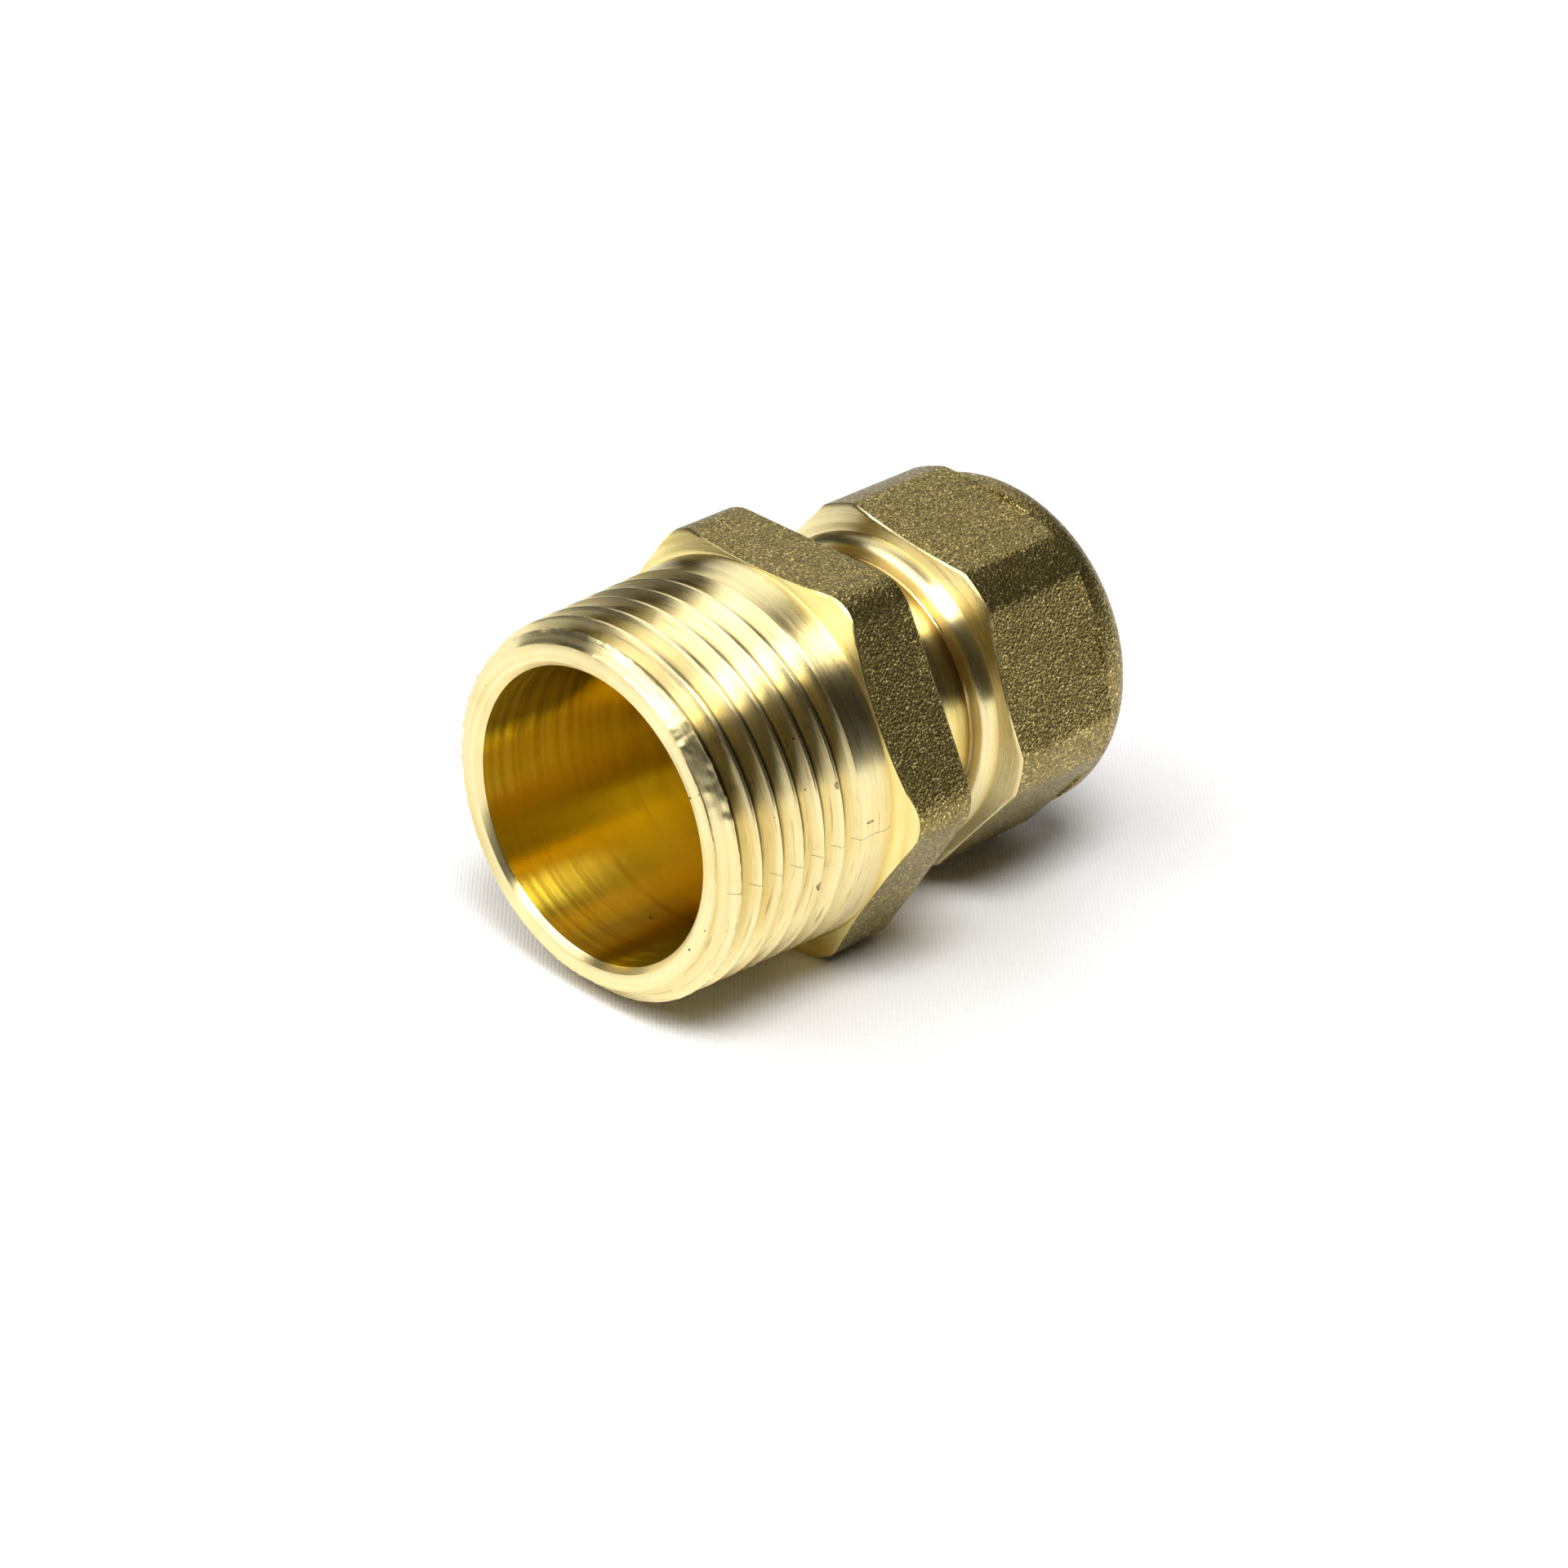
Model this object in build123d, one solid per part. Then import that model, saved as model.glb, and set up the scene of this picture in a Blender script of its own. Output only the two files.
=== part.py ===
from build123d import *
import math
import os

# All sizes are in millimetres. Each piece is turned about the Z axis, with the mouth face at zero and
# the pipe entry above it, and is laid down along X at the end.

# Mouth: smooth bore inside the male pipe thread
mouth_bore_dia = 20.5
mouth_bore_depth = 19.0
mouth_bevel_width = 0.4
mouth_bevel_depth = 0.42
mouth_land_dia = 23.5
mouth_chamfer_length = 0.95
drill_point_angle = 118.0

# Male taper pipe thread, nominal 3/4 inch
pipe_gauge_dia = 26.441
pipe_gauge_length = 9.5
pipe_taper = 1 / 16
pipe_pitch = 1.814
pipe_thread_depth = 1.162
pipe_flank_angle = 27.5
pipe_root_width = 0.3
pipe_thread_length = 11.4
pipe_run_out_turns = 0.5
pipe_shank_length = 14.3

# Forged spanner hexagon
hex_across_flats = 27.0
hex_width = 6.0
hex_ridge_radius = 3.0
hex_chamfer_angle = 27.0
hex_edge_radius = 0.35
hexagon_sides = 6

# Rear thread of the body, inside the nut, on a diameter that leaves a narrow land round the ring's seat
rear_face_land = 0.05
rear_pitch = 1.5
rear_thread_depth = 0.92
rear_flank_angle = 30.0
rear_root_width = 0.2
rear_thread_length = 5.2
rear_neck_length = 5.8
rear_chamfer = 0.8
neck_fillet = 0.4

# Plastic pipe that the fitting takes
pipe_outer_dia = 16.0
pipe_inner_dia = 12.0
pipe_socket_clearance = 0.15
pipe_socket_depth = 7.0

# Spigot that the pipe is pushed on
spigot_clearance = 0.05
spigot_bore_dia = 8.0
spigot_reach = 4.2
spigot_tip_taper = 1.2
spigot_tip_step = 0.65
barb_count = 3
barb_pitch = 0.8
barb_depth = 0.25
barb_start = 1.7

# Seal rings and their grooves in the spigot
o_ring_section = 1.5
o_ring_groove_depth = 1.2
o_ring_groove_width = 2.0
o_ring_slack = 0.02
front_groove_place = 4.6
rear_groove_place = 7.4

# Flat insulating washer at the foot of the socket
washer_thickness = 1.2
washer_slack = 0.1

# Slit clamping ring, between the seats in the body and in the nut
ring_wall = 1.05
ring_length = 4.76
ring_bevel = 0.8
ring_seat_play = 0.42
ring_slit_width = 1.6
ring_pipe_clearance = 0.1

# Compression nut, 24 mm across flats round its threaded bore
nut_length = 14.6
nut_wall = 1.95
nut_ridge_radius = 5.5
nut_turn = 8.0
nut_thread_clearance = 0.05
nut_thread_depth = 8.6
nut_lip_width = 0.45
nut_collar_wall = 1.15
nut_collar_length = 1.25
nut_chamfer_angle = 17.0
nut_rear_collar_step = 0.1
nut_rear_collar_length = 3.25
nut_rear_bevel_angle = 27.0
nut_rear_radius = 2.6
nut_entry_bevel = 0.5
pipe_hole_clearance = 0.2

# How far a cut runs on past the metal, and how deep the spigot's root lies in it
cut_overrun = 1.0
groove_overrun = 0.18
spigot_root = 1.0

# Radii that mating pieces share
mouth_bore_radius = mouth_bore_dia / 2
socket_radius = pipe_outer_dia / 2 + pipe_socket_clearance
spigot_radius = pipe_inner_dia / 2 - spigot_clearance
groove_root_radius = spigot_radius - o_ring_groove_depth
ring_inner_radius = pipe_outer_dia / 2 + ring_pipe_clearance
ring_outer_radius = ring_inner_radius + ring_wall
rear_thread_radius = ring_outer_radius + rear_face_land + rear_chamfer
nut_bore_radius = rear_thread_radius + nut_thread_clearance
nut_flat_radius = nut_bore_radius + nut_wall
nut_collar_radius = nut_bore_radius + nut_collar_wall
nut_rear_collar_radius = nut_flat_radius + nut_rear_collar_step
pipe_hole_radius = pipe_outer_dia / 2 + pipe_hole_clearance

# Places along the axis
hex_back = pipe_shank_length + hex_width
body_thread_end = hex_back + rear_neck_length + rear_thread_length
socket_foot = body_thread_end - pipe_socket_depth
spigot_tip = body_thread_end + spigot_reach
ring_front = body_thread_end - ring_bevel + ring_seat_play
ring_back = ring_front + ring_length
nut_cone_start = ring_back - ring_bevel + ring_seat_play - (nut_bore_radius - ring_outer_radius)
nut_cone_end = nut_cone_start + nut_bore_radius - pipe_hole_radius
nut_front = nut_cone_start - nut_thread_depth
nut_back = nut_front + nut_length
nut_hex_start = nut_front + nut_collar_length
nut_hex_end = nut_back - nut_rear_collar_length


def pipe_crest_radius(place):
    """Crest radius of the taper thread at a place along the axis."""
    return pipe_gauge_dia / 2 + (place - pipe_gauge_length) * pipe_taper / 2


def turned(points):
    """Solid turned about the axis from (radius, place) points."""
    return revolve(make_face(Plane.XZ * Polyline(*points, close=True)), Axis.Z)


def cone_drop(radius_step, angle):
    """Length along the axis of a chamfer that leans by an angle from the flat face."""
    return radius_step * math.tan(math.radians(angle))


def thread_groove(start, turns, root_radius, pitch, depth, flank_angle, root_width, cone_angle):
    """Helical groove with a flat root, swept up to one turn about the axis."""
    groove_height = depth + groove_overrun
    half_root = root_width / 2
    half_mouth = half_root + groove_height * math.tan(math.radians(flank_angle))
    outer_radius = root_radius + groove_height
    outline = Polyline(
        (root_radius, start - half_root),
        (root_radius, start + half_root),
        (outer_radius, start + half_mouth),
        (outer_radius, start - half_mouth),
        close=True,
    )
    path = Helix(pitch, pitch * turns, root_radius, center=(0, 0, start), cone_angle=cone_angle)
    return sweep(make_face(Plane.XZ * outline), path=path, is_frenet=True)


def cut_pipe_thread(blank):
    """Cut the taper pipe thread turn by turn, with a last half turn that runs out of the metal."""
    taper_angle = math.degrees(math.atan(pipe_taper / 2))
    turn_count = math.ceil(pipe_thread_length / pipe_pitch)
    first_place = pipe_thread_length - turn_count * pipe_pitch
    for turn in range(turn_count):
        place = first_place + turn * pipe_pitch
        blank -= thread_groove(
            place, 1, pipe_crest_radius(place) - pipe_thread_depth, pipe_pitch,
            pipe_thread_depth, pipe_flank_angle, pipe_root_width, taper_angle,
        )
    run_out_angle = math.degrees(math.atan(pipe_thread_depth / (pipe_run_out_turns * pipe_pitch)))
    return blank - thread_groove(
        pipe_thread_length, pipe_run_out_turns, pipe_crest_radius(pipe_thread_length) - pipe_thread_depth,
        pipe_pitch, pipe_thread_depth, pipe_flank_angle, pipe_root_width, run_out_angle,
    )


def cut_rear_thread(blank):
    """Cut the parallel thread that the nut screws on, from the pipe end back towards the neck."""
    turn_count = math.ceil(rear_thread_length / rear_pitch)
    first_place = body_thread_end - rear_thread_length
    for turn in range(turn_count):
        blank -= thread_groove(
            first_place + turn * rear_pitch, 1, rear_thread_radius - rear_thread_depth, rear_pitch,
            rear_thread_depth, rear_flank_angle, rear_root_width, 0,
        )
    return blank


def rounded_hexagon(flat_radius, ridge_radius):
    """Hexagon with two flats square to X and rounded ridges, by the radius that its flats touch."""
    outline = RegularPolygon(flat_radius, hexagon_sides, major_radius=False, rotation=180 / hexagon_sides)
    return fillet(outline.vertices(), ridge_radius)


def sharp_corner_radius(flat_radius):
    """Radius of a hexagon's corners before they are rounded."""
    return flat_radius / math.cos(math.pi / hexagon_sides)


def body_hexagon():
    """Spanner hexagon with a turned chamfer on its front and soft forged edges behind."""
    flat_radius = hex_across_flats / 2
    corner_radius = sharp_corner_radius(flat_radius)
    outline = rounded_hexagon(flat_radius, hex_ridge_radius)
    prism = extrude(Pos(0, 0, pipe_shank_length) * outline, hex_width)
    prism = fillet(prism.faces().sort_by(Axis.Z)[-1].edges(), hex_edge_radius)
    chamfered = turned([
        (0, pipe_shank_length),
        (flat_radius, pipe_shank_length),
        (corner_radius, pipe_shank_length + cone_drop(corner_radius - flat_radius, hex_chamfer_angle)),
        (corner_radius, hex_back),
        (0, hex_back),
    ])
    return prism & chamfered


def body_blank():
    """Turned outside of the body: thread blank, neck and rear thread blank, all solid."""
    chamfer_radius = pipe_crest_radius(mouth_chamfer_length)
    shank_radius = pipe_crest_radius(pipe_shank_length)
    shank_end = pipe_shank_length + hex_width / 2
    neck_start = hex_back + neck_fillet
    return turned([
        (0, 0),
        (mouth_land_dia / 2, 0),
        (chamfer_radius, mouth_chamfer_length),
        (shank_radius, pipe_shank_length),
        (shank_radius, shank_end),
        (rear_thread_radius + neck_fillet, shank_end),
        (rear_thread_radius + neck_fillet, hex_back),
        (rear_thread_radius, neck_start),
        (rear_thread_radius, body_thread_end - rear_chamfer),
        (rear_thread_radius - rear_chamfer, body_thread_end),
        (0, body_thread_end),
    ])


def spigot():
    """Spigot with saw-tooth barbs, two seal grooves and a tapered tip, solid inside."""
    barb_tops = socket_foot + barb_start
    points = [(0, socket_foot - spigot_root), (spigot_radius - barb_depth, socket_foot - spigot_root)]
    for barb in range(barb_count):
        place = barb_tops + barb * barb_pitch
        points.append((spigot_radius - barb_depth, place))
        points.append((spigot_radius, place))
    points.append((spigot_radius - barb_depth, barb_tops + barb_count * barb_pitch))
    points.append((spigot_radius, barb_tops + barb_count * barb_pitch))
    for groove_place in (front_groove_place, rear_groove_place):
        groove_start = socket_foot + groove_place
        points.append((spigot_radius, groove_start))
        points.append((groove_root_radius, groove_start))
        points.append((groove_root_radius, groove_start + o_ring_groove_width))
        points.append((spigot_radius, groove_start + o_ring_groove_width))
    points.append((spigot_radius, spigot_tip - spigot_tip_taper))
    points.append((spigot_radius - spigot_tip_step, spigot_tip))
    points.append((0, spigot_tip))
    return turned(points)


def body_waterway():
    """Everything bored out along the axis: the wide mouth, its drilled foot and the spigot's bore."""
    spigot_bore_radius = spigot_bore_dia / 2
    drill_drop = (mouth_bore_radius - spigot_bore_radius) / math.tan(math.radians(drill_point_angle / 2))
    return turned([
        (0, -cut_overrun),
        (mouth_bore_radius + mouth_bevel_width, -cut_overrun),
        (mouth_bore_radius + mouth_bevel_width, 0),
        (mouth_bore_radius, mouth_bevel_depth),
        (mouth_bore_radius, mouth_bore_depth),
        (spigot_bore_radius, mouth_bore_depth + drill_drop),
        (spigot_bore_radius, spigot_tip + cut_overrun),
        (0, spigot_tip + cut_overrun),
    ])


def pipe_socket():
    """Round space round the spigot for the pipe's end, flared where the clamping ring seats."""
    flare = ring_outer_radius - socket_radius
    return turned([
        (0, socket_foot),
        (socket_radius, socket_foot),
        (socket_radius, body_thread_end - flare),
        (ring_outer_radius, body_thread_end),
        (ring_outer_radius, body_thread_end + cut_overrun),
        (0, body_thread_end + cut_overrun),
    ])


def make_body():
    """Body: one forged and turned piece of brass."""
    blank = body_blank() + body_hexagon()
    blank = cut_pipe_thread(blank)
    blank = cut_rear_thread(blank)
    blank = blank - pipe_socket() + spigot()
    return blank - body_waterway()


def make_insulating_washer():
    """Flat washer that lies on the foot of the socket."""
    outer_radius = socket_radius - washer_slack
    inner_radius = spigot_radius + washer_slack
    return turned([
        (inner_radius, socket_foot),
        (outer_radius, socket_foot),
        (outer_radius, socket_foot + washer_thickness),
        (inner_radius, socket_foot + washer_thickness),
    ])


def make_o_ring(groove_place):
    """Seal ring lying in the middle of its groove."""
    section_radius = o_ring_section / 2
    middle = socket_foot + groove_place + o_ring_groove_width / 2
    centre_radius = groove_root_radius + section_radius + o_ring_slack
    section = Pos(centre_radius, 0, middle) * (Plane.XZ * Circle(section_radius))
    return revolve(section, Axis.Z)


def make_split_ring():
    """Clamping ring with a bevel at each end and one slit, a little clear of both its seats."""
    bevel_radius = ring_outer_radius - ring_bevel
    ring = turned([
        (ring_inner_radius, ring_front),
        (bevel_radius, ring_front),
        (ring_outer_radius, ring_front + ring_bevel),
        (ring_outer_radius, ring_back - ring_bevel),
        (bevel_radius, ring_back),
        (ring_inner_radius, ring_back),
    ])
    slit_depth = 2 * ring_outer_radius
    ring_middle = (ring_front + ring_back) / 2
    slit = Pos(0, -ring_outer_radius, ring_middle) * Box(ring_slit_width, slit_depth, 2 * ring_length)
    return ring - slit


def nut_hexagon():
    """Forged hexagon of the nut, chamfered in front and bevelled down to its round rear collar."""
    corner_radius = sharp_corner_radius(nut_flat_radius)
    front_drop = cone_drop(corner_radius - nut_collar_radius, nut_chamfer_angle)
    rear_drop = cone_drop(corner_radius - nut_rear_collar_radius, nut_rear_bevel_angle)
    outline = rounded_hexagon(nut_flat_radius, nut_ridge_radius)
    prism = extrude(Pos(0, 0, nut_hex_start) * outline, nut_hex_end - nut_hex_start)
    chamfered = turned([
        (0, nut_hex_start),
        (nut_collar_radius, nut_hex_start),
        (corner_radius, nut_hex_start + front_drop),
        (corner_radius, nut_hex_end - rear_drop),
        (nut_rear_collar_radius, nut_hex_end),
        (0, nut_hex_end),
    ])
    return prism & chamfered


def nut_collars():
    """Turned outside of the nut: round front collar, core and round rear collar."""
    lip_radius = nut_bore_radius + nut_lip_width
    rear_face_radius = nut_rear_collar_radius - nut_rear_radius
    rounding_start = nut_back - nut_rear_radius
    profile = Polyline(
        (lip_radius, nut_front),
        (0, nut_front),
        (0, nut_back),
        (rear_face_radius, nut_back),
    )
    profile += RadiusArc(
        (rear_face_radius, nut_back), (nut_rear_collar_radius, rounding_start), nut_rear_radius
    )
    profile += Polyline(
        (nut_rear_collar_radius, rounding_start),
        (nut_rear_collar_radius, nut_hex_end),
        (nut_collar_radius, nut_hex_end),
        (nut_collar_radius, nut_hex_start),
    )
    lip_centre = (lip_radius, nut_hex_start)
    profile += EllipticalCenterArc(
        lip_centre, nut_collar_radius - lip_radius, nut_collar_length, start_angle=270, arc_size=90
    )
    return revolve(make_face(Plane.XZ * profile), Axis.Z)


def nut_inside():
    """Space inside the nut: thread bore, clamping cone and pipe hole."""
    return turned([
        (0, nut_front - cut_overrun),
        (nut_bore_radius, nut_front - cut_overrun),
        (nut_bore_radius, nut_cone_start),
        (pipe_hole_radius, nut_cone_end),
        (pipe_hole_radius, nut_back - nut_entry_bevel),
        (pipe_hole_radius + nut_entry_bevel, nut_back),
        (pipe_hole_radius + nut_entry_bevel, nut_back + cut_overrun),
        (0, nut_back + cut_overrun),
    ])


def make_nut():
    """Compression nut: one forged and turned piece of brass."""
    nut = nut_collars() + nut_hexagon() - nut_inside()
    return Rot(0, 0, nut_turn) * nut


def laid_down(piece):
    """Lay a piece along X, on the body's lower flat, with the whole part centred over the origin."""
    return Pos(-nut_back / 2, 0, hex_across_flats / 2) * Rot(0, 90, 0) * piece


pieces = {
    "body": make_body(),
    "insulating_washer": make_insulating_washer(),
    "front_o_ring": make_o_ring(front_groove_place),
    "rear_o_ring": make_o_ring(rear_groove_place),
    "split_ring": make_split_ring(),
    "compression_nut": make_nut(),
}

os.makedirs("parts", exist_ok=True)
for name, piece in pieces.items():
    export_step(laid_down(piece), f"parts/{name}.step")
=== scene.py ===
import logging
import math
from collections.abc import Callable
from dataclasses import dataclass
from enum import Enum, IntEnum
from functools import partial

import bmesh
import bpy
from mathutils import Euler, Matrix, Vector, noise


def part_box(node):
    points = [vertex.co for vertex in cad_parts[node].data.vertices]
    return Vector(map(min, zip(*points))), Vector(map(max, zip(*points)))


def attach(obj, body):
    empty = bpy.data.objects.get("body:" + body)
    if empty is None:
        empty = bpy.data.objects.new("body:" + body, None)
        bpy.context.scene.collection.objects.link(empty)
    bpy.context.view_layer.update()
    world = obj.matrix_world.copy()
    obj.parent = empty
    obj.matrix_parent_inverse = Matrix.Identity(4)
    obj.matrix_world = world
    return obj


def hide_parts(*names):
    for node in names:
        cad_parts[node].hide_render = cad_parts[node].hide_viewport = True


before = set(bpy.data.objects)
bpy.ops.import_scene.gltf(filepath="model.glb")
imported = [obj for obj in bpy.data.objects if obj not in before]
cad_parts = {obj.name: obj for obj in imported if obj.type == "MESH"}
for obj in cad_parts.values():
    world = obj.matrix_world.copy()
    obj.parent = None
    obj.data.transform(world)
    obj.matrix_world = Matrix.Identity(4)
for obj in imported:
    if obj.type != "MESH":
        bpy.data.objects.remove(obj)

# Sizes of the pieces are in millimetres. A piece is modelled round the X axis, with the mouth face at
# zero, and is laid into the frame, in metres, when it is finished. An angle round the axis runs from
# straight up towards +Y in the shapes, and from straight up towards -Y in the materials.

LOG = logging.getLogger("pipe_fitting")
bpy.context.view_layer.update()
MM = 0.001
FULL_TURN = 2 * math.pi
HEXAGON_SIDES = 6

# Steps round the axis of a large and of a small piece, and the equal sectors that they are made in.
COLUMNS = 320
SMALL_COLUMNS = 160
SECTORS = 16

# Steps along a hexagon's flats and cones, round its back edge, round a fine edge and round a seal.
FACE_STEPS = 6
ROUND_STEPS = 4
EDGE_STEPS = 2
SEAL_STEPS = 24

# Steps down a thread's flank, and how many pitches from its front end have them.
FLANK_STEPS = 4
FINE_PITCHES = 2

# Distances at which points are welded and a cut takes them, the gap left between two surfaces that are
# bridged, and how near to that gap its rims are looked for.
WELD = 1e-4
SNAP = 1e-5
LOOP_GAP = 0.03
GAP_REACH = 0.25

# Angles in degrees: half of a corner that counts as straight, and a crease that is shaded sharp.
STRAIGHT = 89.5
SHARP_ANGLE = 32.0

# Vector operations that give a plain number.
NUMBER_RESULTS = ("LENGTH", "DISTANCE", "DOT_PRODUCT")

Point = tuple[float, float]
Path = list[Point]
Ring = Callable[[float], Point]
ThreadRadius = Callable[[float, float, float, float], float]
Colour = tuple[float, float, float]
Socket = bpy.types.NodeSocket
Material = bpy.types.Material
Piece = bpy.types.Object
Inputs = dict[str | int, object]

# A noise is given by its scale and detail, and a ramp by two values and the results at them.
Noise = tuple[float, float]
Ramp = tuple[float, float, float, float]


class Slot(Enum):
    """Names of the record's material slots, which the pieces here do not use."""

    BODY = "body_brass"
    NUT = "nut_brass"
    RING = "ring_brass"
    SEAL = "seal_rubber"
    WASHER = "washer_plastic"


class Finish(IntEnum):
    """Places in a piece's list of materials. A piece of one material takes the first."""

    MACHINED = 0
    BLASTED = 1
    BORE = 2
    THREAD = 3
    GOLDEN = 4


class Axis:
    """The part's long axis in the frame: where the mouth face is and how high the axis lies."""

    def __init__(self) -> None:
        """Read the axis from the body's box."""
        low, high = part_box("body")
        self.mouth_x = low.x
        self.height = (low.z + high.z) / 2

    def lay_down(self, shape: bmesh.types.BMesh) -> None:
        """Move a shape from millimetres round the X axis to its place in the frame."""
        place = Matrix.Translation((self.mouth_x, 0, self.height)) @ Matrix.Scale(MM, 4)
        bmesh.ops.transform(shape, matrix=place, verts=shape.verts)


def shares(steps: int) -> list[float]:
    """Even shares from zero to one, both included."""
    return [step / steps for step in range(steps + 1)]


def clamped(share: float) -> float:
    """Share held between zero and one."""
    return min(max(share, 0.0), 1.0)


def slope(degrees: float) -> float:
    """Slope of a line that leans by an angle."""
    return math.tan(math.radians(degrees))


def round_ring(place: float, radius: float) -> Ring:
    """Rule that gives one place and radius at any angle."""
    return lambda angle: (place, radius)


def round_rings(path: Path) -> list[Ring]:
    """A round ring for each point of a path, as place and radius."""
    return [round_ring(place, radius) for place, radius in path]


def rounded(path: Path, radius: float, steps: int = 3) -> Path:
    """Round the inner corners of an open path.

    Args:
        path: Corners of the path as place and radius.
        radius: Radius of each rounding.
        steps: Pieces in each rounding.

    Returns:
        The path's points with an arc at each inner corner.
    """
    points = [path[0]]
    for before, corner, after in zip(path, path[1:], path[2:]):
        knee = Vector(corner)
        back = (Vector(before) - knee).normalized()
        ahead = (Vector(after) - knee).normalized()
        half = back.angle(ahead) / 2
        if half > math.radians(STRAIGHT):
            points.append(corner)
            continue
        centre = knee + (back + ahead).normalized() * (radius / math.sin(half))
        first = knee + back * (radius / math.tan(half)) - centre
        last = knee + ahead * (radius / math.tan(half)) - centre
        rays = [first.lerp(last, share).normalized() for share in shares(steps)]
        points += [tuple(centre + ray * radius) for ray in rays]
    points.append(path[-1])
    return points


def quarter(centre: Point, along: float, out: float, steps: int = 6) -> Path:
    """Quarter of an ellipse by its half widths, from its end along the part to its end across it."""
    angles = [math.pi / 2 * share for share in shares(steps)]
    return [(centre[0] + along * math.cos(turn), centre[1] + out * math.sin(turn)) for turn in angles]


@dataclass(frozen=True)
class Hexagon:
    """Outline of a spanner hexagon with rounded ridges.

    Args:
        flat_radius: Distance from the axis to a flat.
        ridge_radius: Rounding radius of the ridges.
        turn: Angle of the first flat.
        ridge_reach: Radius of the round that cuts the ridges off.
    """

    flat_radius: float
    ridge_radius: float
    turn: float = 0.0
    ridge_reach: float = math.inf

    def radius(self, angle: float) -> float:
        """Distance from the axis to the outline.

        Args:
            angle: Angle round the axis.

        Returns:
            The radius in millimetres.
        """
        sector = FULL_TURN / HEXAGON_SIDES
        from_flat = abs((angle - self.turn + sector / 2) % sector - sector / 2)
        inner_flat = self.flat_radius - self.ridge_radius
        flat_end = math.atan(inner_flat * math.tan(sector / 2) / self.flat_radius)
        if from_flat <= flat_end:
            return min(self.flat_radius / math.cos(from_flat), self.ridge_reach)
        from_ridge = sector / 2 - from_flat
        ridge_centre = inner_flat / math.cos(sector / 2)
        across = ridge_centre * math.sin(from_ridge)
        ridge = ridge_centre * math.cos(from_ridge) + math.sqrt(self.ridge_radius**2 - across**2)
        return min(ridge, self.ridge_reach)


@dataclass(frozen=True)
class ThreadForm:
    """Form of a right-hand screw thread on a cylinder or a slow taper.

    Args:
        pitch: Distance from crest to crest.
        depth: Height of a crest over the root.
        flank_angle: Lean of each flank in degrees.
        root_width: Flat width at the root.
        rounding: Radius at crest and root.
        root_place: Place of one root on the lowest line of the thread.
    """

    pitch: float
    depth: float
    flank_angle: float
    root_width: float
    rounding: float
    root_place: float

    def top_line(self, start: float, end: float) -> Path:
        """Line of the thread along its top, as place and height over the root.

        Args:
            start: Place that the line covers from.
            end: Place that the line covers to.

        Returns:
            Points of a line that reaches a pitch past both places, with rounded corners.
        """
        flank = self.depth * slope(self.flank_angle)
        half_root = self.root_width / 2
        first_root = self.root_place + self.pitch / 2
        first = math.floor((start - first_root) / self.pitch) - 1
        last = math.ceil((end - first_root) / self.pitch) + 1
        line = []
        for turn in range(first, last + 1):
            root = first_root + turn * self.pitch
            steps = shares(FLANK_STEPS if root < start + self.pitch * FINE_PITCHES else 1)
            line += [(root - half_root - flank * (1 - step), self.depth * (1 - step)) for step in steps]
            line += [(root + half_root + flank * step, self.depth * step) for step in steps]
        return rounded(line, self.rounding, EDGE_STEPS)

    def nearest_root(self, place: float, angle: float) -> float:
        """Place of the middle of the root that is nearest to a point, at the point's own angle."""
        root = self.root_place + (math.pi - angle) / FULL_TURN * self.pitch
        return root + round((place - root) / self.pitch) * self.pitch


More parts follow.
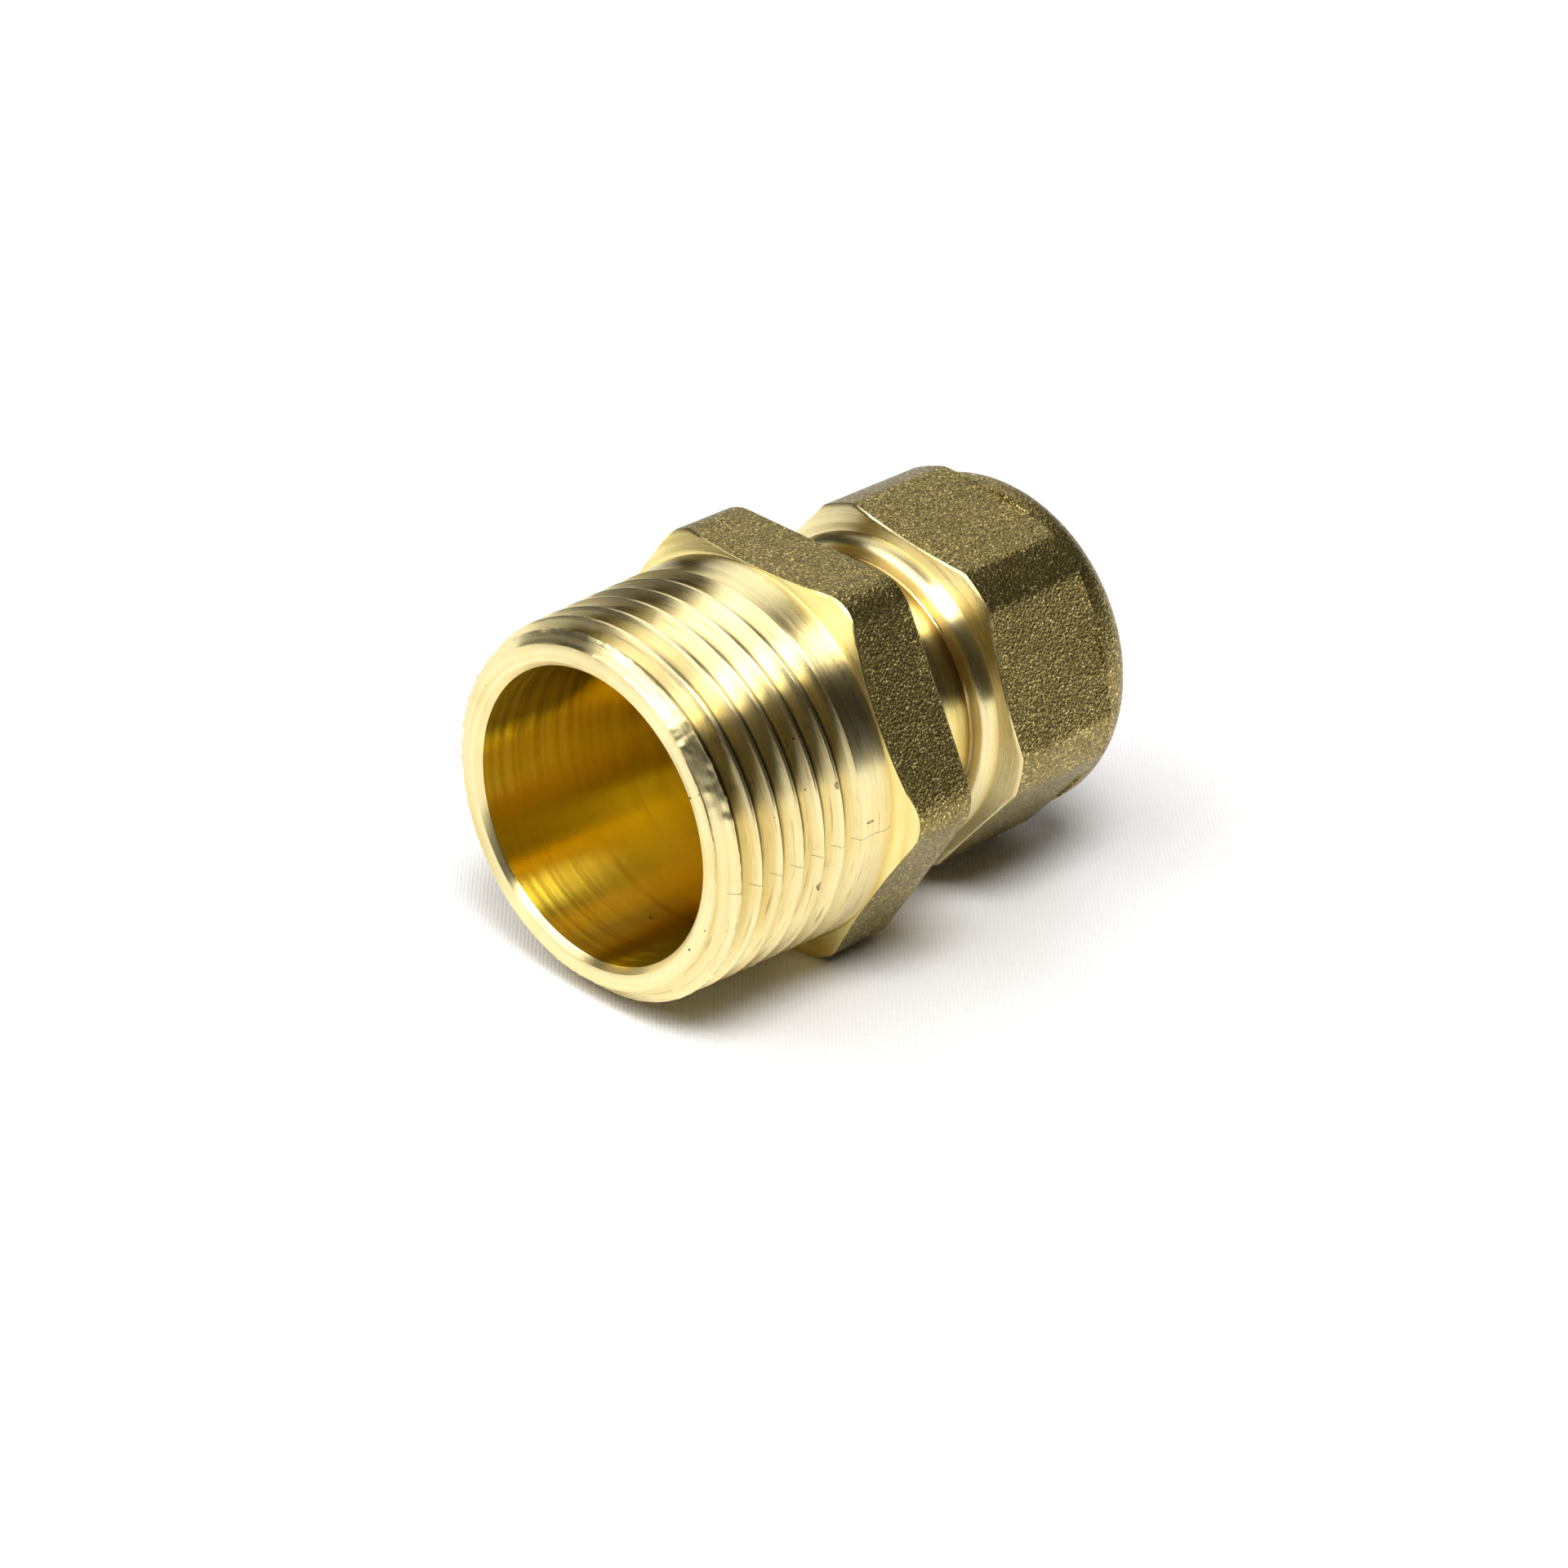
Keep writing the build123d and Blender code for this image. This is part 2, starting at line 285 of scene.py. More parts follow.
class Lathe:
    """Builds the surfaces of one turned piece in a single mesh."""

    def __init__(self, columns: int = COLUMNS) -> None:
        """Start an empty mesh with this many steps round the axis."""
        self.columns = columns
        self.mesh = bmesh.new()

    def spin(self, path: Path, finish: Finish, rise: float = 0.0, sweep: float = FULL_TURN) -> None:
        """Spin an open line round the axis: one sector by steps, and the rest by doubling it.

        Args:
            path: Place and radius of the line's points, straight above the axis.
            finish: Finish of the faces.
            rise: Distance that the line moves along the axis in the sweep.
            sweep: Angle that the line goes round.
        """
        verts = [self.mesh.verts.new((place, 0, radius)) for place, radius in path]
        edges = [self.mesh.edges.new(pair) for pair in zip(verts, verts[1:])]
        bmesh.ops.spin(
            self.mesh,
            geom=[*verts, *edges],
            cent=(0, 0, 0),
            axis=(1, 0, 0),
            dvec=(rise / self.columns, 0, 0),
            angle=sweep / SECTORS,
            steps=self.columns // SECTORS,
            use_duplicate=False,
        )
        done = 1
        while done < SECTORS:
            geometry = [*self.mesh.verts, *self.mesh.edges, *self.mesh.faces]
            copied = bmesh.ops.duplicate(self.mesh, geom=geometry)["geom"]
            moved = [item for item in copied if isinstance(item, bmesh.types.BMVert)]
            turn = Matrix.Rotation(sweep * done / SECTORS, 3, "X")
            bmesh.ops.rotate(self.mesh, verts=moved, cent=(0, 0, 0), matrix=turn)
            bmesh.ops.translate(self.mesh, verts=moved, vec=(rise * done / SECTORS, 0, 0))
            done *= 2
        bmesh.ops.remove_doubles(self.mesh, verts=self.mesh.verts, dist=WELD)
        for face in self.mesh.faces:
            face.material_index = finish

    def turn(self, rings: list[Ring], finish: Finish = Finish.MACHINED) -> None:
        """Turn a surface whose rings may be round or not.

        Args:
            rings: One rule for each ring, in order along the surface.
            finish: Finish of the faces.
        """
        surface = Lathe(self.columns)
        surface.spin([(index, 1.0) for index in range(len(rings))], finish)
        for vert in surface.mesh.verts:
            angle = math.atan2(vert.co.y, vert.co.z)
            place, radius = rings[round(vert.co.x)](angle)
            vert.co = (place, radius * math.sin(angle), radius * math.cos(angle))
        surface.pour_into(self)

    def thread(
        self, form: ThreadForm, start: float, end: float, radius: ThreadRadius, finish: Finish
    ) -> None:
        """Turn a threaded surface, cut square at both ends.

        Args:
            form: Form of the thread.
            start: Place of the front end.
            end: Place of the rear end.
            radius: Rule that gives the radius from place, height over the root, nearest root and angle.
            finish: Finish of the faces.
        """
        sleeve = Lathe(self.columns)
        core = 1.0
        line = [(place, core + height) for place, height in form.top_line(start, end)]
        sleeve.spin(line, finish, form.pitch)
        for vert in sleeve.mesh.verts:
            angle = math.atan2(vert.co.y, vert.co.z)
            height = math.hypot(vert.co.y, vert.co.z) - core
            reach = radius(vert.co.x, height, form.nearest_root(vert.co.x, angle), angle)
            vert.co = (vert.co.x, reach * math.sin(angle), reach * math.cos(angle))
        sleeve.cut(start, -1)
        sleeve.cut(end, 1)
        sleeve.pour_into(self)

    def cut(self, place: float, side: int) -> None:
        """Cut square to the axis, and drop the side towards the pipe end at 1 or the mouth at -1."""
        geometry = [*self.mesh.verts, *self.mesh.edges, *self.mesh.faces]
        plane = {"plane_co": (place, 0, 0), "plane_no": (side, 0, 0)}
        bmesh.ops.bisect_plane(self.mesh, geom=geometry, dist=SNAP, clear_outer=True, **plane)

    def pour_into(self, other: "Lathe") -> None:
        """Add this mesh to another and free it.

        Args:
            other: The lathe that takes the surfaces.
        """
        data = bpy.data.meshes.new("poured")
        self.mesh.to_mesh(data)
        self.mesh.free()
        other.mesh.from_mesh(data)
        bpy.data.meshes.remove(data)

    def bridge(self, place: float) -> None:
        """Close the narrow gap between the two open loops at one place.

        Args:
            place: Place of the gap along the axis.
        """
        bmesh.ops.remove_doubles(self.mesh, verts=self.mesh.verts, dist=WELD)
        rim = [edge for edge in self.mesh.edges if edge.is_boundary]
        near = [edge for edge in rim if all(abs(vert.co.x - place) < GAP_REACH for vert in edge.verts)]
        bmesh.ops.bridge_loops(self.mesh, edges=near)

    def finish(self, name: str, axis: Axis, finishes: list[Material]) -> Piece:
        """Make the finished object.

        Args:
            name: Name of the object.
            axis: The part's axis in the frame.
            finishes: Materials in the order of their finishes.

        Returns:
            The object, with smooth faces and sharp edges where it has corners.
        """
        bmesh.ops.remove_doubles(self.mesh, verts=self.mesh.verts, dist=WELD)
        bmesh.ops.recalc_face_normals(self.mesh, faces=self.mesh.faces)
        gaps = sum(edge.is_boundary for edge in self.mesh.edges)
        bulk = self.mesh.calc_volume(signed=True)
        axis.lay_down(self.mesh)
        data = bpy.data.meshes.new(name)
        self.mesh.to_mesh(data)
        self.mesh.free()
        data.shade_smooth()
        data.set_sharp_from_angle(angle=math.radians(SHARP_ANGLE))
        for finish in finishes:
            data.materials.append(finish)
        piece = bpy.data.objects.new(name, data)
        bpy.context.scene.collection.objects.link(piece)
        data.calc_loop_triangles()
        LOG.info("%s: %d triangles, %d open edges, %.0f mm3", name, len(data.loop_triangles), gaps, bulk)
        return piece


@dataclass
class FittingBody:
    """The body: threaded mouth, spanner hexagon, neck, rear thread, socket and spigot."""

    axis: Axis
    mouth_bore: float = 10.25
    mouth_depth: float = 19.0
    mouth_bevel: float = 0.4
    land_radius: float = 11.75
    chamfer_length: float = 0.95
    rag_height: float = 0.2
    rag_scales: tuple[float, float] = (0.9, 2.3)
    rag_detail: float = 0.6
    rag_power: int = 4
    lip_height: float = 0.5
    lip_width: float = 0.5
    lip_scale: float = 2.4
    lip_near_side: float = 0.4
    gauge_radius: float = 13.2205
    gauge_place: float = 9.5
    taper: float = 1 / 32
    run_out: float = 0.907
    shank_end: float = 14.3
    hex_back: float = 20.3
    hex_chamfer: float = 27.0
    edge_rounding: float = 0.35
    fine_rounding: float = 0.06
    neck_radius: float = 10.0
    neck_fillet: float = 0.4
    rear_thread_start: float = 25.6
    rear_end: float = 31.3
    rear_chamfer: float = 0.8
    seat_radius: float = 9.15
    socket_radius: float = 8.15
    socket_foot: float = 24.3
    spigot_radius: float = 5.95
    spigot_tip: float = 35.5
    spigot_tip_radius: float = 5.3
    tip_taper: float = 1.2
    barb_root: float = 5.7
    barb_start: float = 26.0
    barb_pitch: float = 0.8
    barb_count: int = 4
    groove_root: float = 4.75
    groove_starts: tuple[float, float] = (28.9, 31.7)
    groove_width: float = 2.0
    waterway: float = 4.0
    drill_angle: float = 118.0
    hexagon: Hexagon = Hexagon(flat_radius=13.5, ridge_radius=3.0)
    pipe_thread: ThreadForm = ThreadForm(
        pitch=1.814, depth=1.162, flank_angle=27.5, root_width=0.4, rounding=0.035, root_place=11.4
    )
    rear_thread: ThreadForm = ThreadForm(
        pitch=1.5, depth=0.92, flank_angle=30.0, root_width=0.2, rounding=0.08, root_place=26.1
    )

    def crest(self, place: float) -> float:
        """Crest radius of the taper thread at a place."""
        return self.gauge_radius + (place - self.gauge_place) * self.taper

    def rag(self, place: float, angle: float) -> tuple[float, float]:
        """Heights of the rag that the cutter left at the chamfer's outer edge.

        Args:
            place: Place along the axis.
            angle: Angle round the axis.

        Returns:
            How far the chamfer stands off its cone, and how far the lip on its edge stands up.
        """
        spot = Vector((place, self.land_radius * math.sin(angle), self.land_radius * math.cos(angle)))
        coarse, fine = [noise.noise(spot * scale) for scale in self.rag_scales]
        outwards = clamped(place / self.chamfer_length) ** self.rag_power
        wave = self.rag_height * (coarse + self.rag_detail * fine) * outwards
        far_side = self.lip_near_side + (1 - self.lip_near_side) * max(math.sin(angle), 0.0)
        return wave, self.lip_height * max(noise.noise(spot * self.lip_scale), 0.0) * far_side

    def pipe_thread_radius(self, place: float, height: float, root: float, angle: float) -> float:
        """Radius of the taper thread, chamfered at the mouth and running out at the shank.

        Args:
            place: Place along the axis.
            height: Height over the thread's root.
            root: Place of the nearest root.
            angle: Angle round the axis.

        Returns:
            The radius in millimetres.
        """
        fade = clamped((root - self.pipe_thread.root_place) / self.run_out)
        radius = self.crest(place) - (self.pipe_thread.depth - height) * (1 - fade)
        lean = (self.crest(self.chamfer_length) - self.land_radius) / self.chamfer_length
        wave, lip = self.rag(place, angle)
        cone = self.land_radius + max(place, 0.0) * lean + wave
        beside = max(1 - abs(radius - cone) / self.lip_width, 0.0)
        return min(radius, cone) + lip * beside

    def rear_thread_radius(self, place: float, height: float, root: float, angle: float) -> float:
        """Radius of the rear thread, running in from the neck and chamfered at the end.

        Args:
            place: Place along the axis.
            height: Height over the thread's root.
            root: Place of the nearest root.
            angle: Angle round the axis, which this thread doesn't depend on.

        Returns:
            The radius in millimetres.
        """
        fade = clamped((self.rear_thread.root_place - root) / self.run_out)
        radius = self.neck_radius - (self.rear_thread.depth - height) * (1 - fade)
        chamfer = self.neck_radius - self.rear_chamfer + self.rear_end - place
        return max(min(radius, chamfer), self.seat_radius + LOOP_GAP)

    def hexagon_front(self, share: float, angle: float) -> Point:
        """Point of the turned cone by its share of the way from the flat front to the outline."""
        rise = (self.hexagon.radius(angle) - self.hexagon.flat_radius) * share
        return self.shank_end + rise * slope(self.hex_chamfer), self.hexagon.flat_radius + rise

    def hexagon_side(self, share: float, turn: float, angle: float) -> Point:
        """Point of the hexagon's flats, or of the rounding behind them.

        Args:
            share: Share of the way from the cone to the rounding.
            turn: Angle that is gone round the rounding.
            angle: Angle round the axis.

        Returns:
            Its place and radius.
        """
        front = self.hexagon_front(1.0, angle)[0] + self.fine_rounding
        place = front + (self.hex_back - self.edge_rounding - front) * share
        inset = self.edge_rounding * (1 - math.cos(turn))
        return place + self.edge_rounding * math.sin(turn), self.hexagon.radius(angle) - inset

    def mouth_and_waterway(self) -> Path:
        """Path from the mouth's land through the bore and back over the spigot to the rear face.

        Returns:
            The path's corners.
        """
        drill_drop = (self.mouth_bore - self.waterway) / slope(self.drill_angle / 2)
        path = [
            (0.0, self.land_radius - LOOP_GAP),
            (0.0, self.mouth_bore + self.mouth_bevel),
            (self.mouth_bevel, self.mouth_bore),
            (self.mouth_depth, self.mouth_bore),
            (self.mouth_depth + drill_drop, self.waterway),
            (self.spigot_tip, self.waterway),
            (self.spigot_tip, self.spigot_tip_radius),
            (self.spigot_tip - self.tip_taper, self.spigot_radius),
        ]
        for start in reversed(self.groove_starts):
            end = start + self.groove_width
            path += [(end, self.spigot_radius), (end, self.groove_root)]
            path += [(start, self.groove_root), (start, self.spigot_radius)]
        for barb in reversed(range(self.barb_count)):
            place = self.barb_start + barb * self.barb_pitch
            path += [(place, self.spigot_radius), (place, self.barb_root)]
        path += [(self.socket_foot, self.barb_root), (self.socket_foot, self.socket_radius)]
        path.append((self.rear_end - self.seat_radius + self.socket_radius, self.socket_radius))
        path.append((self.rear_end, self.seat_radius))
        return path

    def build(self, finishes: list[Material]) -> Piece:
        """Build the body.

        Args:
            finishes: Materials in the order of the finishes.

        Returns:
            The finished piece.
        """
        lathe = Lathe()
        lathe.turn(round_rings(rounded(self.mouth_and_waterway(), self.fine_rounding, EDGE_STEPS)))
        for face in lathe.mesh.faces:
            middle = face.calc_center_median()
            inside = math.hypot(middle.y, middle.z) < self.mouth_bore + self.mouth_bevel / 2
            if inside and self.mouth_bevel < middle.x < self.mouth_depth + self.mouth_bore:
                face.material_index = Finish.BORE
        stop = self.shank_end - LOOP_GAP
        lathe.thread(self.pipe_thread, LOOP_GAP, stop, self.pipe_thread_radius, Finish.THREAD)
        start, stop = self.rear_thread_start, self.rear_end - LOOP_GAP
        lathe.thread(self.rear_thread, start, stop, self.rear_thread_radius, Finish.MACHINED)
        front = [round_ring(self.shank_end, self.crest(self.shank_end) + LOOP_GAP)]
        front += [partial(self.hexagon_front, share) for share in shares(FACE_STEPS)[:-1]]
        front.append(partial(self.hexagon_front, 1 - self.fine_rounding))
        front.append(partial(self.hexagon_side, 0.0, 0.0))
        lathe.turn(front, Finish.GOLDEN)
        sides = [partial(self.hexagon_side, share, 0.0) for share in shares(FACE_STEPS)[:-1]]
        sides += [partial(self.hexagon_side, 1.0, math.pi / 2 * share) for share in shares(ROUND_STEPS)]
        sides.append(round_ring(self.hex_back, self.neck_radius + self.neck_fillet))
        lathe.turn(sides, Finish.BLASTED)
        fillet = self.neck_fillet
        neck = quarter((self.hex_back + fillet, self.neck_radius + fillet), -fillet, -fillet)
        neck.append((self.rear_thread_start - LOOP_GAP, self.neck_radius))
        lathe.turn(round_rings(neck), Finish.GOLDEN)
        for place in (0.0, self.shank_end, self.rear_thread_start, self.rear_end):
            lathe.bridge(place)
        return lathe.finish("body_brasswork", self.axis, finishes)


@dataclass
class CompressionNut:
    """The nut: front collar, forged hexagon, rear collar, pipe hole, clamping cone and bore."""

    axis: Axis
    front: float = 25.8
    back: float = 40.4
    bore: float = 10.05
    lip_width: float = 0.45
    collar_radius: float = 11.2
    collar_length: float = 1.25
    collar_steps: int = 8
    chamfer: float = 17.0
    hex_end: float = 37.15
    rear_radius: float = 12.12
    rear_bevel: float = 27.0
    bevel_steps: int = 3
    rear_rounding: float = 2.6
    rear_steps: int = 10
    step_gap: float = 0.08
    lip_rounding: float = 0.08
    pipe_hole: float = 8.2
    entry_bevel: float = 0.5
    cone_start: float = 34.4
    hexagon: Hexagon = Hexagon(
        flat_radius=11.92, ridge_radius=3.5, turn=math.radians(-8.0), ridge_reach=12.98
    )

    def front_cone(self, share: float, angle: float) -> Point:
        """Point of the turned cone by its share of the way from the collar to the hexagon's outline."""
        radius = self.collar_radius + (self.hexagon.radius(angle) - self.collar_radius) * share
        return self.front + self.collar_length + (radius - self.collar_radius) * slope(self.chamfer), radius

    def side(self, share: float, angle: float) -> Point:
        """Point of the hexagon's flats.

        Args:
            share: Share of the way from the front cone to the rear bevel.
            angle: Angle round the axis.

        Returns:
            Its place and radius.
        """
        radius = self.hexagon.radius(angle)
        front = self.front_cone(1.0, angle)[0] + self.lip_rounding
        bevel = max(radius - self.rear_radius, 0.0) * slope(self.rear_bevel)
        return front + (self.hex_end - self.step_gap - bevel - front) * share, radius

    def rear_cone(self, share: float, angle: float) -> Point:
        """Point of the bevel by its share of the way from the flats to the rear collar."""
        place, radius = self.side(1.0, angle)
        return place + (self.hex_end - place) * share, radius + (self.rear_radius - radius) * share

    def build(self, machined: Material, blasted: Material) -> Piece:
        """Build the nut.

        Args:
            machined: Material of the turned surfaces.
            blasted: Material of the forged surfaces.

        Returns:
            The finished piece.
        """
        lathe = Lathe()
        lip_radius = self.bore + self.lip_width
        centre = (self.front + self.collar_length, lip_radius)
        collar = quarter(centre, -self.collar_length, self.collar_radius - lip_radius, self.collar_steps)
        front = round_rings([(self.front, self.bore), *collar])
        front += [partial(self.front_cone, share) for share in shares(FACE_STEPS)[1:-1]]
        front.append(partial(self.front_cone, 1 - self.lip_rounding))
        front.append(partial(self.side, 0.0))
        lathe.turn(front)
        sides = [partial(self.side, share) for share in shares(FACE_STEPS)]
        sides += [partial(self.rear_cone, share) for share in shares(self.bevel_steps)[1:]]
        rounding = self.rear_rounding
        centre = (self.back - rounding, self.rear_radius - rounding)
        sides += round_rings(quarter(centre, rounding, rounding, self.rear_steps)[::-1])
        lathe.turn(sides, Finish.BLASTED)
        inside = [
            (self.back, self.rear_radius - rounding),
            (self.back, self.pipe_hole + self.entry_bevel),
            (self.back - self.entry_bevel, self.pipe_hole),
            (self.cone_start + self.bore - self.pipe_hole, self.pipe_hole),
            (self.cone_start, self.bore),
            (self.front, self.bore),
        ]
        lathe.turn(round_rings(inside))
        return lathe.finish("nut_brasswork", self.axis, [machined, blasted])


@dataclass
class ClampRing:
    """The slit ring between the body's seat and the nut's cone."""

    axis: Axis
    front: float = 30.92
    back: float = 35.68
    inner: float = 8.1
    outer: float = 9.15
    bevel: float = 0.8
    slit: float = 1.6
    slit_angle: float = 90.0

    def build(self, machined: Material) -> Piece:
        """Build the ring.

        Args:
            machined: Material of the turned surfaces.

        Returns:
            The finished piece.
        """
        lathe = Lathe(SMALL_COLUMNS)
        section = [
            (self.front, self.inner),
            (self.front, self.outer - self.bevel),
            (self.front + self.bevel, self.outer),
            (self.back - self.bevel, self.outer),
            (self.back, self.outer - self.bevel),
            (self.back, self.inner),
            (self.front, self.inner),
        ]
        opening = self.slit / self.outer
        lathe.spin(section, Finish.MACHINED, sweep=FULL_TURN - opening)
        rim = [edge for edge in lathe.mesh.edges if edge.is_boundary]
        bmesh.ops.holes_fill(lathe.mesh, edges=rim)
        turn = math.radians(self.slit_angle) + opening / 2
        bmesh.ops.rotate(lathe.mesh, verts=lathe.mesh.verts, matrix=Matrix.Rotation(turn, 3, "X"))
        return lathe.finish("clamp_ring_brasswork", self.axis, [machined])


@dataclass
class Seals:
    """The flat washer and the two seal rings on the spigot."""

    axis: Axis
    washer_place: float = 24.3
    washer_thickness: float = 1.2
    washer_inner: float = 6.05
    washer_outer: float = 8.05
    washer_rounding: float = 0.12
    ring_places: tuple[float, float] = (29.9, 32.7)
    ring_radius: float = 5.52
    ring_section: float = 0.75

    def washer(self, plastic: Material) -> Piece:
        """Build the flat washer.

        Args:
            plastic: Material of the washer.

        Returns:
            The finished piece.
        """
        lathe = Lathe(SMALL_COLUMNS)
        front = self.washer_place
        back = self.washer_place + self.washer_thickness
        middle = (self.washer_inner + self.washer_outer) / 2
        corners = [
            (front, middle),
            (front, self.washer_outer),
            (back, self.washer_outer),
            (back, self.washer_inner),
            (front, self.washer_inner),
            (front, middle),
        ]
        lathe.turn(round_rings(rounded(corners, self.washer_rounding)))
        return lathe.finish("washer_plasticwork", self.axis, [plastic])

    def ring(self, name: str, place: float, rubber: Material) -> Piece:
        """Build one seal ring.

        Args:
            name: Name of the piece.
            place: Place of the ring's middle.
            rubber: Material of the ring.

        Returns:
            The finished piece.
        """
        lathe = Lathe(SMALL_COLUMNS)
        centre, section = self.ring_radius, self.ring_section
        turns = [FULL_TURN * share for share in shares(SEAL_STEPS)]
        circle = [(place + section * math.cos(turn), centre + section * math.sin(turn)) for turn in turns]
        lathe.turn(round_rings(circle))
        return lathe.finish(name, self.axis, [rubber])


class Wiring:
    """Adds and links the nodes of a material or of the world."""

    def __init__(self, tree: bpy.types.NodeTree) -> None:
        """Take the node tree."""
        self.tree = tree

    def put(self, value: object, target: Socket) -> None:
        """Give an input its socket or its constant.

        Args:
            value: Socket, number or vector.
            target: The input.
        """
        if isinstance(value, Socket):
            self.tree.links.new(value, target)
        else:
            target.default_value = value

    def node(self, kind: str, inputs: Inputs | None = None, **settings: object) -> bpy.types.Node:
        """Add a node.

        Args:
            kind: Name of the node's type.
            inputs: Sockets or constants for its inputs, by their names or numbers.
            **settings: Properties to set on it first.

        Returns:
            The node.
        """
        node = self.tree.nodes.new(kind)
        for key, value in settings.items():
            setattr(node, key, value)
        for key, value in (inputs or {}).items():
            self.put(value, node.inputs[key])
        return node

    def number(self, operation: str, *values: object) -> Socket:
        """Number that an operation makes of sockets or numbers."""
        return self.node("ShaderNodeMath", dict(enumerate(values)), operation=operation).outputs["Value"]

    def times(self, first: object, second: object) -> Socket:
        """Product of two sockets or numbers."""
        return self.number("MULTIPLY", first, second)

    def apart(self, first: object, second: object) -> Socket:
        """Difference of two sockets or numbers, without its sign."""
        return self.number("ABSOLUTE", self.number("SUBTRACT", first, second))

    def vector(self, operation: str, *values: object) -> Socket:
        """Vector, or plain number, that an operation makes of sockets or vectors."""
        node = self.node("ShaderNodeVectorMath", dict(enumerate(values)), operation=operation)
        return node.outputs["Value" if operation in NUMBER_RESULTS else "Vector"]

    def split(self, vector: Socket) -> list[Socket]:
        """The three coordinates of a vector."""
        return list(self.node("ShaderNodeSeparateXYZ", {"Vector": vector}).outputs)

    def ramp(self, source: Socket, *values: float, kind: str = "LINEAR") -> Socket:
        """Map a value to a range.

        Args:
            source: The value's socket.
            *values: Two values and the results at and past them, which are zero and one if left out.
            kind: Kind of interpolation.

        Returns:
            The mapped socket.
        """
        inputs = dict(zip(("From Min", "From Max", "To Min", "To Max"), values))
        inputs["Value"] = source
        return self.node("ShaderNodeMapRange", inputs, interpolation_type=kind).outputs["Result"]

    def edge(self, source: Socket, dark: float, lit: float) -> Socket:
        """Share that rises softly from zero at one value to one at another, larger or smaller."""
        low, high = sorted((dark, lit))
        return self.ramp(source, low, high, float(dark > lit), float(dark < lit), kind="SMOOTHSTEP")

    def blend(self, share: Socket, first: object, second: object) -> Socket:
        """Mix two colours.

        Args:
            share: Share of the second colour.
            first: Colour or socket at zero.
            second: Colour or socket at one.

        Returns:
            The colour socket.
        """
        low, high = [(*end, 1) if isinstance(end, tuple) else end for end in (first, second)]
        inputs = {"Factor": share, "A": low, "B": high}
        return self.node("ShaderNodeMix", inputs, data_type="RGBA").outputs["Result"]


